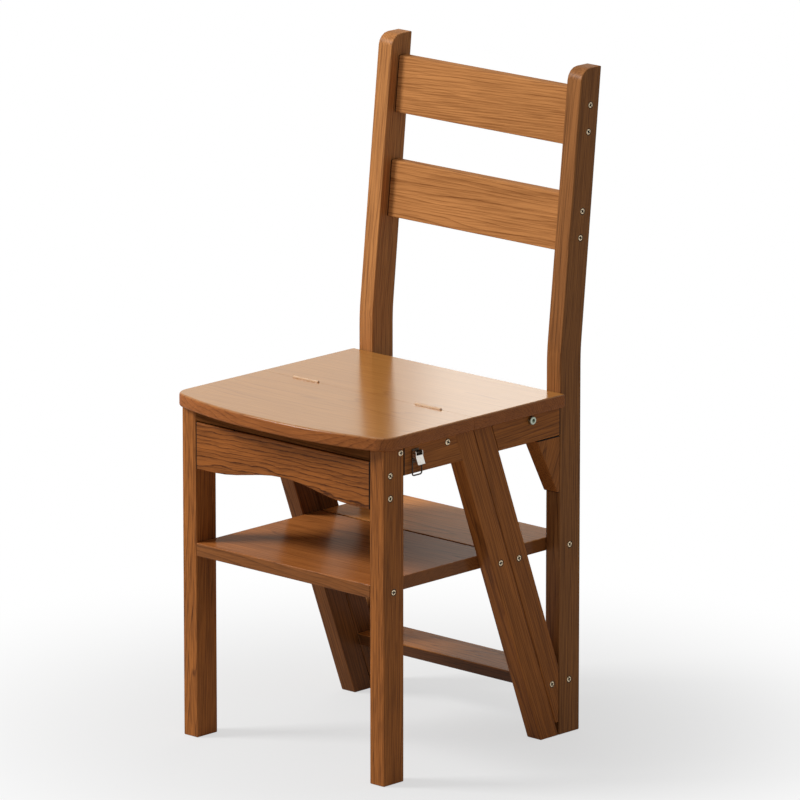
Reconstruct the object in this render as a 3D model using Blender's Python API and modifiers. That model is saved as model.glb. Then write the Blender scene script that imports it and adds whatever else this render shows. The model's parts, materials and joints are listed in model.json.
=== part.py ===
"""A wooden ladder chair: an upright chair whose back half folds over forward and makes a step ladder.

Metres, +Z up, the front of the chair towards -Y. The origin is on the floor under the middle of the chair.
The front frame carries the front legs, the front half of the seat and a shelf. The back frame carries the
posts, the rear half of the seat, the rear part of the shelf and a low board. The two frames part along the
slanting seam between two pairs of diagonals and turn on two hinges at the seam in the seat's top.
"""

import math

import bmesh
import bpy
from mathutils import Matrix, Vector

# Overall sizes
CHAIR_HEIGHT = 0.889
FRAME_WIDTH = 0.363
FRAME_DEPTH = 0.3755
SEAT_HEIGHT = 0.465
SEAT_OVERHANG = 0.0335

# Timber and board sizes
MEMBER_THICKNESS = 0.025
BOARD_THICKNESS = 0.018
LEG_DEPTH = 0.0375
POST_DEPTH = 0.040
POST_TOP_DEPTH = 0.0375
POST_TOP_ROUND = 0.018
LEAN_START = 0.515
LEAN_BEND_RADIUS = 0.350
POST_LEAN = math.radians(6.0)
DIAGONAL_WIDTH = 0.032
DIAGONAL_ANGLE = math.radians(20.5)
DIAGONAL_TOE = 0.006
SIDE_RAIL_HEIGHT = 0.039
GUSSET_WIDTH = 0.042
GUSSET_HEIGHT = 0.077
GUSSET_TIP = 0.004

# Boards that run across the chair
APRON_HEIGHT = 0.063
APRON_ARCH = 0.015
APRON_ARCH_SPAN = 0.250
APRON_ARCH_STEPS = 12
APRON_GAP = 0.0016
BEARER_THICKNESS = 0.0165
SHELF_HEIGHT = 0.2656
SHELF_REAR_INSET = 0.0035
LOW_BOARD_HEIGHT = 0.0816
BACK_RAIL_THICKNESS = 0.015
BACK_RAIL_WIDTH = 0.0755
BACK_RAIL_RECESS = 0.0145
CREST_RAIL_DROP = 0.029
LOWER_RAIL_DROP = 0.168

# The seat's outline, seen from above
SEAT_SIDE_OVERHANG = 0.010
SEAT_BOW = 0.0235
SEAT_BOW_POWER_SHARE = 2.3
SEAT_CORNER_RADIUS = 0.028
SEAT_BOW_STEPS = 8
SEAT_ROUND = 0.003

# Clearances and softened edges
TOUCH_GAP = 0.0003
SEAM_GAP = 0.0008
BOARD_SPLIT_GAP = 0.0028
HAIRLINE_GAP = 0.0004
EDGE_ROUND = 0.0015
CUT_OVERRUN = 0.004
ARC_STEPS = 6
BEND_STEPS = 4

# Wood screws through the frame's outer faces
SCREW_LENGTH = 0.045
SCREW_HEAD_RADIUS = 0.004
SCREW_HEAD_THICKNESS = 0.0018
SCREW_CROWN = 0.0006
SCREW_SHANK_RADIUS = 0.0019
SCREW_POINT_LENGTH = 0.006
SCREW_SINK = 0.0002
SCREW_STEPS = 12
APRON_SCREW_SPACING = 0.030
BACK_SCREW_SPACING = 0.035

# Catch bolts through the rear side rails
BOLT_SETBACK = 0.0575
BOLT_HEAD_RADIUS = 0.0055
BOLT_HEAD_HEIGHT = 0.005
BOLT_HEAD_CHAMFER = 0.0006
BOLT_SHANK_RADIUS = 0.003
BOLT_LENGTH = 0.042
BOLT_SOCKET_RADIUS = 0.0029
BOLT_SOCKET_DEPTH = 0.003
BOLT_SOCKET_SIDES = 6

# Seat hinges, let into the butted edges of the two seat boards
HINGE_SETBACK = 0.0022
HINGE_PLACE_X = 0.110
HINGE_LENGTH = 0.045
HINGE_LEAF_HEIGHT = 0.014
HINGE_LEAF_THICKNESS = 0.0012
HINGE_KNUCKLE_RADIUS = 0.0019
HINGE_PIN_RADIUS = 0.0008
HINGE_BORE_RADIUS = 0.0011
HINGE_KNUCKLE_SHARE = 0.34
HINGE_STEPS = 12

# Draw latches on the front side rails
LATCH_PLACE_Y = 0.058
LATCH_PIVOT_DROP = 0.0107
LATCH_PLATE_WIDTH = 0.0125
LATCH_PLATE_THICKNESS = 0.001
LATCH_PLATE_RISE = 0.0045
LATCH_PLATE_FALL = 0.0135
LATCH_PIVOT_STANDOFF = 0.005
LATCH_EAR_SPREAD = 0.0102
LATCH_EAR_THICKNESS = 0.001
LATCH_EAR_RADIUS = 0.002
LATCH_EAR_ROUND = 0.0018
LATCH_PIN_RADIUS = 0.001
LATCH_PIN_LENGTH = 0.0145
LATCH_HOLE_RADIUS = 0.0013
LEVER_WIDTH = 0.0132
LEVER_SHEET = 0.0009
LEVER_CROWN_REACH = 0.0033
LEVER_CROWN_RADIUS = 0.003
LEVER_LENGTH = 0.0145
LEVER_THROAT = 0.003
LEVER_STRAIGHT = 0.0045
LEVER_TAB_KICK = 0.004
LEVER_CHEEK_REACH = 0.0029
LEVER_CHEEK_DROP = 0.0094
LEVER_CHEEK_END = 0.011
LEVER_FLANGE = 0.0014
BAIL_SETBACK = 0.0011
BAIL_DROP = 0.0070
BAIL_WIRE_RADIUS = 0.0010
BAIL_WIDTH = 0.0195
BAIL_LENGTH = 0.0235
BAIL_HOOK = 0.0050
BAIL_HOOK_BEND = 0.0015
BAIL_BEND_RADIUS = 0.0030
LATCH_STEPS = 12
BAIL_WIRE_RESOLUTION = 1

# Worked-out places, seen from the side
TOP_REACH = CHAIR_HEIGHT - LEAN_START
TOP_FRONT_SHIFT = TOP_REACH * math.tan(POST_LEAN)
TOP_REAR_SHIFT = TOP_FRONT_SHIFT + POST_TOP_DEPTH - POST_DEPTH
FRONT_Y = (SEAT_OVERHANG - FRAME_DEPTH - TOP_REAR_SHIFT) / 2
POST_REAR_Y = FRONT_Y + FRAME_DEPTH
POST_FRONT_Y = POST_REAR_Y - POST_DEPTH
LEG_REAR_Y = FRONT_Y + LEG_DEPTH
SEAT_UNDERSIDE = SEAT_HEIGHT - BOARD_THICKNESS
FRAME_TOP = SEAT_UNDERSIDE - TOUCH_GAP
RAIL_BOTTOM = FRAME_TOP - SIDE_RAIL_HEIGHT
BEARER_MIDDLE = FRAME_TOP - BEARER_THICKNESS / 2
APRON_TOP = FRAME_TOP - BEARER_THICKNESS - APRON_GAP
APRON_BOTTOM = APRON_TOP - APRON_HEIGHT
SHELF_MIDDLE = SHELF_HEIGHT - BOARD_THICKNESS / 2
LOW_BOARD_MIDDLE = LOW_BOARD_HEIGHT - BOARD_THICKNESS / 2
CREST_RAIL_TOP = CHAIR_HEIGHT - CREST_RAIL_DROP
LOWER_RAIL_TOP = CHAIR_HEIGHT - LOWER_RAIL_DROP
DIAGONAL_RUN = DIAGONAL_WIDTH / math.cos(DIAGONAL_ANGLE)

# Worked-out places, seen from the front
OUTER_X = FRAME_WIDTH / 2
INNER_X = OUTER_X - MEMBER_THICKNESS
MEMBER_X = OUTER_X - MEMBER_THICKNESS / 2
INNER_WIDTH = 2 * (INNER_X - TOUCH_GAP)
SEAT_SIDE_X = OUTER_X + SEAT_SIDE_OVERHANG

# The line that the back frame turns on
HINGE_Z = SEAT_HEIGHT + TOUCH_GAP

# Ways to lay an outline: seen from the side, from the front and from above
SIDE_VIEW = (math.pi / 2, 0, math.pi / 2)
FRONT_VIEW = (math.pi / 2, 0, 0)
TOP_VIEW = (0, 0, 0)
ALONG_X = Vector((1, 0, 0))
ALONG_Y = Vector((0, 1, 0))
FLAT_ANGLE = math.radians(0.5)
SHARP_ANGLE = math.radians(30)
MERGE_DISTANCE = 1e-6
SIDES = (("right", 1), ("left", -1))


def seam_y(z):
    """The slanting seam between the two frames, from the posts' feet up to the seat."""
    return POST_FRONT_Y - z * math.tan(DIAGONAL_ANGLE)


def post_front_y(z):
    return POST_FRONT_Y + max(0, z - LEAN_START) * math.tan(POST_LEAN)


HINGE_Y = seam_y(SEAT_HEIGHT) - HINGE_SETBACK


def clear_scene():
    for obj in list(bpy.data.objects):
        bpy.data.objects.remove(obj)


def new_collection(name):
    collection = bpy.data.collections.new(name)
    bpy.context.scene.collection.children.link(collection)
    return collection


def principled(name, colour, roughness, metallic):
    material = bpy.data.materials.new(name)
    material.use_nodes = True
    shader = material.node_tree.nodes["Principled BSDF"]
    shader.inputs["Base Color"].default_value = (*colour, 1)
    shader.inputs["Roughness"].default_value = roughness
    shader.inputs["Metallic"].default_value = metallic
    return material


clear_scene()
chair = new_collection("ladder_chair")
cutters = new_collection("cutters")

light_wood = principled("light_wood", (0.36, 0.15, 0.06), 0.45, 0)
dark_wood = principled("dark_wood", (0.17, 0.075, 0.035), 0.45, 0)
seat_wood = principled("seat_wood", (0.27, 0.11, 0.05), 0.25, 0)
bright_steel = principled("bright_steel", (0.62, 0.60, 0.57), 0.3, 1)
dull_steel = principled("dull_steel", (0.30, 0.29, 0.27), 0.4, 1)
bronze = principled("bronze", (0.16, 0.09, 0.05), 0.4, 1)


def new_object(name, mesh, material=None, collection=chair):
    obj = bpy.data.objects.new(name, mesh)
    collection.objects.link(obj)
    if material and not mesh.materials:
        mesh.materials.append(material)
    return obj


def hide_cutter(obj):
    obj.hide_render = True
    obj.display_type = "WIRE"


def mesh_from(obj):
    """The evaluated mesh of a curve or a modified object, with its seams welded."""
    graph = bpy.context.evaluated_depsgraph_get()
    mesh = bpy.data.meshes.new_from_object(obj.evaluated_get(graph))
    shape = bmesh.new()
    shape.from_mesh(mesh)
    bmesh.ops.remove_doubles(shape, verts=shape.verts, dist=MERGE_DISTANCE)
    shape.to_mesh(mesh)
    shape.free()
    return mesh


def as_mesh(obj, material=None, collection=chair):
    """Turns a curve or a modified object into a plain mesh object in the same place."""
    bpy.context.view_layer.update()
    name = obj.name
    mesh = mesh_from(obj)
    place = obj.matrix_world.copy()
    bpy.data.objects.remove(obj)
    made = new_object(name, mesh, material, collection)
    made.matrix_world = place
    return made


def rounded(corners, steps=ARC_STEPS):
    """The outline through corners given as (across, up, radius), each corner drawn as an arc."""
    outline = []
    for index, (across, up, radius) in enumerate(corners):
        corner = Vector((across, up))
        if not radius:
            outline.append(corner)
            continue
        behind = (Vector(corners[index - 1][:2]) - corner).normalized()
        ahead = (Vector(corners[(index + 1) % len(corners)][:2]) - corner).normalized()
        half = behind.angle(ahead) / 2
        centre = corner + (behind + ahead).normalized() * radius / math.sin(half)
        spoke = corner + behind * radius / math.tan(half) - centre
        turn = math.copysign((-behind).angle(ahead), (-behind).cross(ahead))
        for step in range(steps + 1):
            outline.append(centre + Matrix.Rotation(turn * step / steps, 2) @ spoke)
    return outline


def plain(corners):
    return [Vector(corner) for corner in corners]


def board(name, outline, thickness, place, view, material=None, collection=chair):
    """A flat outline with a thickness, laid in one of the three views."""
    curve = bpy.data.curves.new(name, "CURVE")
    curve.dimensions = "2D"
    curve.fill_mode = "BOTH"
    curve.extrude = thickness / 2
    spline = curve.splines.new("POLY")
    spline.points.add(len(outline) - 1)
    for point, (across, up) in zip(spline.points, outline):
        point.co = (across, up, 0, 1)
    spline.use_cyclic_u = True
    drawn = bpy.data.objects.new(name, curve)
    chair.objects.link(drawn)
    drawn.location = place
    drawn.rotation_euler = view
    made = as_mesh(drawn, material, collection)
    shape = bmesh.new()
    shape.from_mesh(made.data)
    bmesh.ops.dissolve_limit(
        shape, angle_limit=FLAT_ANGLE, verts=shape.verts, edges=shape.edges
    )
    bmesh.ops.recalc_face_normals(shape, faces=shape.faces)
    shape.to_mesh(made.data)
    shape.free()
    return made


def soften(obj, width=EDGE_ROUND, along=None, segments=2):
    """Rounds every sharp edge or, on a board whose ends butt on others, only those along its length."""
    bevel = obj.modifiers.new("softened_edges", "BEVEL")
    bevel.width = width
    bevel.segments = segments
    bevel.limit_method = "ANGLE"
    bevel.angle_limit = SHARP_ANGLE
    if along is None:
        return
    bevel.limit_method = "WEIGHT"
    shape = bmesh.new()
    shape.from_mesh(obj.data)
    weight = shape.edges.layers.float.new("bevel_weight_edge")
    turned = obj.matrix_world.to_3x3()
    for edge in shape.edges:
        run = turned @ (edge.verts[1].co - edge.verts[0].co)
        sharp = edge.calc_face_angle(0) > SHARP_ANGLE
        edge[weight] = 1 if sharp and abs(run.normalized().dot(along)) > math.cos(SHARP_ANGLE) else 0
    shape.to_mesh(obj.data)
    shape.free()


def boolean(obj, other, operation="DIFFERENCE"):
    modifier = obj.modifiers.new(operation.lower() + "_" + other.name, "BOOLEAN")
    modifier.operation = operation
    modifier.solver = "EXACT"
    modifier.object = other


def box(name, low, high, material=None, collection=chair):
    """A block between two corners."""
    mesh = bpy.data.meshes.new(name)
    shape = bmesh.new()
    bmesh.ops.create_cube(shape, size=1)
    size = Vector(high) - Vector(low)
    middle = (Vector(high) + Vector(low)) / 2
    bmesh.ops.scale(shape, vec=size, verts=shape.verts)
    bmesh.ops.translate(shape, vec=middle, verts=shape.verts)
    shape.to_mesh(mesh)
    shape.free()
    return new_object(name, mesh, material, collection)


def rod(name, turn, middle, length, radius, steps, material=None, collection=chair):
    """A round bar, along Z until it is turned."""
    mesh = bpy.data.meshes.new(name)
    shape = bmesh.new()
    bmesh.ops.create_cone(
        shape, cap_ends=True, segments=steps, radius1=radius, radius2=radius, depth=length
    )
    bmesh.ops.rotate(shape, cent=(0, 0, 0), matrix=turn, verts=shape.verts)
    bmesh.ops.translate(shape, vec=middle, verts=shape.verts)
    shape.to_mesh(mesh)
    shape.free()
    return new_object(name, mesh, material, collection)


TURN_TO_X = Matrix.Rotation(math.pi / 2, 3, "Y")
TURN_TO_Y = Matrix.Rotation(math.pi / 2, 3, "X")


def cutter_box(name, low, high):
    made = box(name, low, high, collection=cutters)
    hide_cutter(made)
    return made


def cutter_board(name, outline, thickness, place):
    made = board(name, outline, thickness, place, FRONT_VIEW, collection=cutters)
    hide_cutter(made)
    return made


def cutter_rod(name, turn, middle, length, radius, steps):
    made = rod(name, turn, middle, length, radius, steps, collection=cutters)
    hide_cutter(made)
    return made


def turned_mesh(name, profile, steps, material=None):
    """A turned shape about Z. The profile is (radius, height) points, down its outer side."""
    mesh = bpy.data.meshes.new(name)
    shape = bmesh.new()
    verts = [shape.verts.new((radius, 0, height)) for radius, height in profile]
    for upper, lower in zip(verts, verts[1:]):
        shape.edges.new((upper, lower))
    shape.to_mesh(mesh)
    shape.free()
    blank = new_object(name, mesh)
    screw = blank.modifiers.new("turned", "SCREW")
    screw.steps = steps
    screw.render_steps = steps
    screw.use_merge_vertices = True
    screw.merge_threshold = MERGE_DISTANCE
    bpy.context.view_layer.update()
    made = mesh_from(blank)
    bpy.data.objects.remove(blank)
    made.shade_smooth()
    made.set_sharp_from_angle(angle=SHARP_ANGLE)
    if material:
        made.materials.append(material)
    return made


def in_place(name, mesh, side, y, z, collection=chair):
    """A turned piece with its head outwards on one side of the chair."""
    obj = new_object(name, mesh, collection=collection)
    obj.location = (side * OUTER_X, y, z)
    obj.rotation_euler = (0, side * math.pi / 2, 0)
    return obj


# Front frame: legs, side rails and diagonals
def front_leg(name, side):
    outline = plain(
        [
            (FRONT_Y, 0),
            (LEG_REAR_Y, 0),
            (LEG_REAR_Y, FRAME_TOP),
            (FRONT_Y, FRAME_TOP),
        ]
    )
    leg = board(name, outline, MEMBER_THICKNESS, (side * MEMBER_X, 0, 0), SIDE_VIEW, light_wood)
    soften(leg)
    return leg


def front_edge_y(z):
    """The front face of the front diagonals."""
    return seam_y(z) - SEAM_GAP / 2 - DIAGONAL_RUN


def front_diagonal(name, side):
    outline = plain(
        [
            (front_edge_y(0), 0),
            (seam_y(0) - SEAM_GAP / 2, 0),
            (seam_y(FRAME_TOP) - SEAM_GAP / 2, FRAME_TOP),
            (front_edge_y(FRAME_TOP), FRAME_TOP),
        ]
    )
    place = (side * MEMBER_X, 0, 0)
    diagonal = board(name, outline, MEMBER_THICKNESS, place, SIDE_VIEW, dark_wood)
    soften(diagonal)
    return diagonal


def front_side_rail(name, side):
    start = LEG_REAR_Y + TOUCH_GAP
    outline = plain(
        [
            (start, RAIL_BOTTOM),
            (front_edge_y(RAIL_BOTTOM) - TOUCH_GAP, RAIL_BOTTOM),
            (front_edge_y(FRAME_TOP) - TOUCH_GAP, FRAME_TOP),
            (start, FRAME_TOP),
        ]
    )
    place = (side * MEMBER_X, 0, 0)
    rail = board(name, outline, MEMBER_THICKNESS, place, SIDE_VIEW, dark_wood)
    soften(rail, along=ALONG_Y)
    return rail


# Front frame: apron, bearer and shelf
def front_apron():
    """The board under the seat's front, with a shallow arch in its lower edge."""
    half = INNER_WIDTH / 2
    arch = []
    for step in range(APRON_ARCH_STEPS + 1):
        share = 2 * step / APRON_ARCH_STEPS - 1
        rise = APRON_ARCH * (1 + math.cos(math.pi * share)) / 2
        arch.append(Vector((APRON_ARCH_SPAN / 2 * share, APRON_BOTTOM + rise)))
    ends = plain([(half, APRON_BOTTOM), (half, APRON_TOP), (-half, APRON_TOP), (-half, APRON_BOTTOM)])
    place = (0, FRONT_Y + MEMBER_THICKNESS / 2, 0)
    apron = board("front_apron", arch + ends, MEMBER_THICKNESS, place, FRONT_VIEW, light_wood)
    soften(apron, along=ALONG_X)
    return apron


def cross_board(name, bottom, top, front_at, rear_at, material):
    """A board across the chair whose edges follow a line on the side view."""
    outline = plain(
        [
            (front_at(bottom), bottom),
            (rear_at(bottom), bottom),
            (rear_at(top), top),
            (front_at(top), top),
        ]
    )
    made = board(name, outline, INNER_WIDTH, (0, 0, 0), SIDE_VIEW, material)
    soften(made, along=ALONG_X)
    return made


def before_split(z):
    return seam_y(z) - BOARD_SPLIT_GAP / 2


def behind_split(z):
    return seam_y(z) + BOARD_SPLIT_GAP / 2


# Back frame: posts, diagonals, rails and gussets
def back_post(name, side):
    """A rear leg that runs up into the back, where it leans and its front corner is rounded."""
    outline = rounded(
        [
            (POST_FRONT_Y, 0, 0),
            (POST_REAR_Y, 0, 0),
            (POST_REAR_Y, LEAN_START, LEAN_BEND_RADIUS),
            (POST_REAR_Y + TOP_REAR_SHIFT, CHAIR_HEIGHT, 0),
            (POST_FRONT_Y + TOP_FRONT_SHIFT, CHAIR_HEIGHT, POST_TOP_ROUND),
            (POST_FRONT_Y, LEAN_START, LEAN_BEND_RADIUS),
        ],
        BEND_STEPS,
    )
    post = board(name, outline, MEMBER_THICKNESS, (side * MEMBER_X, 0, 0), SIDE_VIEW, dark_wood)
    soften(post)
    return post


def rear_edge_y(z):
    """The rear face of the rear diagonals."""
    return seam_y(z) + SEAM_GAP / 2 + DIAGONAL_RUN


def rear_diagonal(name, side):
    """The bar behind the seam. It meets the post's front face and tapers to a toe along it."""
    post_face = POST_FRONT_Y - TOUCH_GAP
    slope = math.tan(DIAGONAL_ANGLE)
    meeting = (SEAM_GAP / 2 + DIAGONAL_RUN + TOUCH_GAP) / slope
    toe = (SEAM_GAP / 2 + DIAGONAL_TOE + TOUCH_GAP) / slope
    outline = plain(
        [
            (seam_y(toe) + SEAM_GAP / 2, toe),
            (post_face, toe),
            (post_face, meeting),
            (rear_edge_y(FRAME_TOP), FRAME_TOP),
            (seam_y(FRAME_TOP) + SEAM_GAP / 2, FRAME_TOP),
        ]
    )
    place = (side * MEMBER_X, 0, 0)
    diagonal = board(name, outline, MEMBER_THICKNESS, place, SIDE_VIEW, dark_wood)
    soften(diagonal)
    return diagonal


def rear_side_rail(name, side):
    end = POST_FRONT_Y - TOUCH_GAP
    outline = plain(
        [
            (rear_edge_y(RAIL_BOTTOM) + TOUCH_GAP, RAIL_BOTTOM),
            (end, RAIL_BOTTOM),
            (end, FRAME_TOP),
            (rear_edge_y(FRAME_TOP) + TOUCH_GAP, FRAME_TOP),
        ]
    )
    place = (side * MEMBER_X, 0, 0)
    rail = board(name, outline, MEMBER_THICKNESS, place, SIDE_VIEW, dark_wood)
    soften(rail, along=ALONG_Y)
    return rail


def gusset(name, side):
    """The corner block under the rear side rail, against the post."""
    top = RAIL_BOTTOM - TOUCH_GAP
    back = POST_FRONT_Y - TOUCH_GAP
    outline = plain(
        [
            (back - GUSSET_WIDTH, top),
            (back - GUSSET_WIDTH, top - GUSSET_TIP),
            (back - GUSSET_TIP, top - GUSSET_HEIGHT),
            (back, top - GUSSET_HEIGHT),
            (back, top),
        ]
    )
    block = board(name, outline, MEMBER_THICKNESS, (side * MEMBER_X, 0, 0), SIDE_VIEW, dark_wood)
    soften(block)
    return block


def back_rail(name, top):
    """A board across the back, set back from the posts' front faces and leaning with them."""
    bottom = top - BACK_RAIL_WIDTH
    depth = BACK_RAIL_THICKNESS / math.cos(POST_LEAN)
    outline = plain(
        [
            (post_front_y(bottom) + BACK_RAIL_RECESS, bottom),
            (post_front_y(bottom) + BACK_RAIL_RECESS + depth, bottom),
            (post_front_y(top) + BACK_RAIL_RECESS + depth, top),
            (post_front_y(top) + BACK_RAIL_RECESS, top),
        ]
    )
    rail = board(name, outline, INNER_WIDTH, (0, 0, 0), SIDE_VIEW, light_wood)
    soften(rail, along=ALONG_X)
    return rail


# Seat: one blank, cut at the seam into a front board and a rear board
def seat_outline():
    """A straight back, straight sides, round front corners and a bowed front edge."""
    half = SEAT_SIDE_X
    tip = FRONT_Y - SEAT_OVERHANG
    span = half - SEAT_CORNER_RADIUS + SEAT_CORNER_RADIUS * math.sin(seat_corner_turn())
    centre_y = tip + SEAT_BOW + SEAT_CORNER_RADIUS * math.cos(seat_corner_turn())
    side_points = []
    for step in range(SEAT_BOW_STEPS):
        share = step / SEAT_BOW_STEPS
        side_points.append(Vector((span * share, tip + SEAT_BOW * share**SEAT_BOW_POWER_SHARE)))
    for step in range(ARC_STEPS + 1):
        turn = seat_corner_turn() + (math.pi / 2 - seat_corner_turn()) * step / ARC_STEPS
        across = half - SEAT_CORNER_RADIUS + SEAT_CORNER_RADIUS * math.sin(turn)
        side_points.append(Vector((across, centre_y - SEAT_CORNER_RADIUS * math.cos(turn))))
    side_points.append(Vector((half, POST_FRONT_Y - TOUCH_GAP)))
    mirrored = [Vector((-point.x, point.y)) for point in reversed(side_points[1:])]
    return side_points + mirrored


def seat_corner_turn():
    """The slope of the bow where the round corner takes over."""
    return math.atan(SEAT_BOW_POWER_SHARE * SEAT_BOW / (SEAT_SIDE_X - SEAT_CORNER_RADIUS))


def seat_board(name, front):
    middle = (0, 0, SEAT_HEIGHT - BOARD_THICKNESS / 2)
    made = board(name, seat_outline(), BOARD_THICKNESS, middle, TOP_VIEW, seat_wood)
    soften(made, SEAT_ROUND, segments=3)
    reach = FRAME_DEPTH + CUT_OVERRUN
    wide = SEAT_SIDE_X + CUT_OVERRUN
    low_z = SEAT_UNDERSIDE - CUT_OVERRUN
    high_z = SEAT_HEIGHT + CUT_OVERRUN
    if front:
        low = (-wide, HINGE_Y - HAIRLINE_GAP / 2, low_z)
        high = (wide, HINGE_Y + reach, high_z)
    else:
        low = (-wide, HINGE_Y - reach, low_z)
        high = (wide, HINGE_Y + HAIRLINE_GAP / 2, high_z)
    boolean(made, cutter_box(name + "_cut", low, high))
    return made


# Seat hinges: each leaf is let into a seat board's butted edge, and the knuckles sit at the seat's top
def knuckle_spans(front):
    """The stretches of a hinge's length that belong to its front or its rear leaf's knuckles."""
    half = HINGE_LENGTH / 2
    middle = HINGE_LENGTH * HINGE_KNUCKLE_SHARE / 2
    if front:
        return ((-half, -middle - TOUCH_GAP), (middle + TOUCH_GAP, half))
    return ((-middle, middle),)


def hinge_leaf(name, side, front):
    away = -1 if front else 1
    place_x = side * HINGE_PLACE_X
    near = HINGE_Y + away * HAIRLINE_GAP / 2
    far = near + away * HINGE_LEAF_THICKNESS
    half = HINGE_LENGTH / 2
    low = (place_x - half, min(near, far), SEAT_HEIGHT - HINGE_LEAF_HEIGHT)
    high = (place_x + half, max(near, far), HINGE_Z)
    leaf = box(name, low, high, bronze)
    for index, (start, end) in enumerate(knuckle_spans(not front)):
        middle = (place_x + (start + end) / 2, HINGE_Y, HINGE_Z)
        length = end - start + 2 * TOUCH_GAP
        radius = HINGE_KNUCKLE_RADIUS + TOUCH_GAP
        cutter = cutter_rod(f"{name}_clear_{index}", TURN_TO_X, middle, length, radius, HINGE_STEPS)
        boolean(leaf, cutter)
    for index, (start, end) in enumerate(knuckle_spans(front)):
        middle = (place_x + (start + end) / 2, HINGE_Y, HINGE_Z)
        radius = HINGE_KNUCKLE_RADIUS
        knuckle = cutter_rod(
            f"{name}_knuckle_{index}", TURN_TO_X, middle, end - start, radius, HINGE_STEPS
        )
        boolean(leaf, knuckle, "UNION")
    middle = (place_x, HINGE_Y, HINGE_Z)
    if front:
        length = HINGE_LENGTH - 2 * TOUCH_GAP
        pin = cutter_rod(name + "_pin", TURN_TO_X, middle, length, HINGE_PIN_RADIUS, HINGE_STEPS)
        boolean(leaf, pin, "UNION")
    else:
        length = HINGE_LENGTH + CUT_OVERRUN
        bore = cutter_rod(name + "_bore", TURN_TO_X, middle, length, HINGE_BORE_RADIUS, HINGE_STEPS)
        boolean(leaf, bore)
    return leaf


def let_in_hinge(seat, side, front):
    """The slot for a leaf and the groove for the knuckles in a seat board's butted edge."""
    away = -1 if front else 1
    place_x = side * HINGE_PLACE_X
    half = HINGE_LENGTH / 2 + TOUCH_GAP
    depth = HAIRLINE_GAP / 2 + HINGE_LEAF_THICKNESS + TOUCH_GAP
    ends = sorted((HINGE_Y - away * CUT_OVERRUN, HINGE_Y + away * depth))
    low = (place_x - half, ends[0], SEAT_HEIGHT - HINGE_LEAF_HEIGHT - TOUCH_GAP)
    high = (place_x + half, ends[1], SEAT_HEIGHT + CUT_OVERRUN)
    boolean(seat, cutter_box(f"{seat.name}_slot_{side}", low, high))
    middle = (place_x, HINGE_Y, HINGE_Z)
    radius = HINGE_KNUCKLE_RADIUS + TOUCH_GAP
    groove = cutter_rod(f"{seat.name}_groove_{side}", TURN_TO_X, middle, 2 * half, radius, HINGE_STEPS)
    boolean(seat, groove)


# Wood screws
def screw_profile(clearance=0):
    """A low crowned head, a straight shank and a point. With a clearance it is the hole for it."""
    head = SCREW_HEAD_RADIUS + clearance
    shank = SCREW_SHANK_RADIUS + clearance
    top = CUT_OVERRUN if clearance else -SCREW_SINK
    shoulder = -SCREW_SINK - SCREW_CROWN if not clearance else top
    under = -SCREW_SINK - SCREW_HEAD_THICKNESS - clearance
    end = -SCREW_LENGTH - clearance
    return [
        (0, top),
        (head - (0 if clearance else SCREW_CROWN), top),
        (head, shoulder),
        (head, under),
        (shank, under),
        (shank, end + SCREW_POINT_LENGTH),
        (0, end),
    ]


def hole_profile():
    profile = screw_profile(TOUCH_GAP)
    return [profile[0]] + profile[2:]


def diagonal_middle_y(z, front):
    half = SEAM_GAP / 2 + DIAGONAL_RUN / 2
    return seam_y(z) - half if front else seam_y(z) + half


def screw_places():
    """Name, place across and up, the piece under each screw's head and the piece that it holds."""
    leg_y = FRONT_Y + LEG_DEPTH / 2
    apron_y = FRONT_Y + MEMBER_THICKNESS / 2
    apron_z = APRON_TOP - APRON_HEIGHT / 2
    post_y = (POST_FRONT_Y + POST_REAR_Y) / 2
    toe_y = (seam_y(LOW_BOARD_MIDDLE) + SEAM_GAP / 2 + POST_FRONT_Y) / 2
    places = [
        ("shelf_leg_screw", leg_y, SHELF_MIDDLE, "front_leg", "front_shelf"),
        (
            "shelf_front_diagonal_screw",
            diagonal_middle_y(SHELF_MIDDLE, True),
            SHELF_MIDDLE,
            "front_diagonal",
            "front_shelf",
        ),
        (
            "shelf_rear_diagonal_screw",
            diagonal_middle_y(SHELF_MIDDLE, False),
            SHELF_MIDDLE,
            "rear_diagonal",
            "rear_shelf",
        ),
        ("shelf_post_screw", post_y, SHELF_MIDDLE, "back_post", "rear_shelf"),
        ("low_board_diagonal_screw", toe_y, LOW_BOARD_MIDDLE, "rear_diagonal", "low_board"),
        ("low_board_post_screw", post_y, LOW_BOARD_MIDDLE, "back_post", "low_board"),
    ]
    for level, sign in (("upper", 1), ("lower", -1)):
        z = apron_z + sign * APRON_SCREW_SPACING / 2
        places.append((f"apron_{level}_screw", apron_y, z, "front_leg", "front_apron"))
        for rail, top in (("crest_rail", CREST_RAIL_TOP), ("lower_back_rail", LOWER_RAIL_TOP)):
            z = top - BACK_RAIL_WIDTH / 2 + sign * BACK_SCREW_SPACING / 2
            y = post_front_y(z) + BACK_RAIL_RECESS + BACK_RAIL_THICKNESS / 2
            places.append((f"{rail}_{level}_screw", y, z, "back_post", rail))
    return places


# Catch bolts
def bolt_profile():
    """A chamfered round head on the rail's face and a plain shank into the bearer's end."""
    seat = TOUCH_GAP
    top = seat + BOLT_HEAD_HEIGHT
    return [
        (0, top),
        (BOLT_HEAD_RADIUS - BOLT_HEAD_CHAMFER, top),
        (BOLT_HEAD_RADIUS, top - BOLT_HEAD_CHAMFER),
        (BOLT_HEAD_RADIUS, seat),
        (BOLT_SHANK_RADIUS, seat),
        (BOLT_SHANK_RADIUS, -BOLT_LENGTH),
        (0, -BOLT_LENGTH),
    ]


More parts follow.
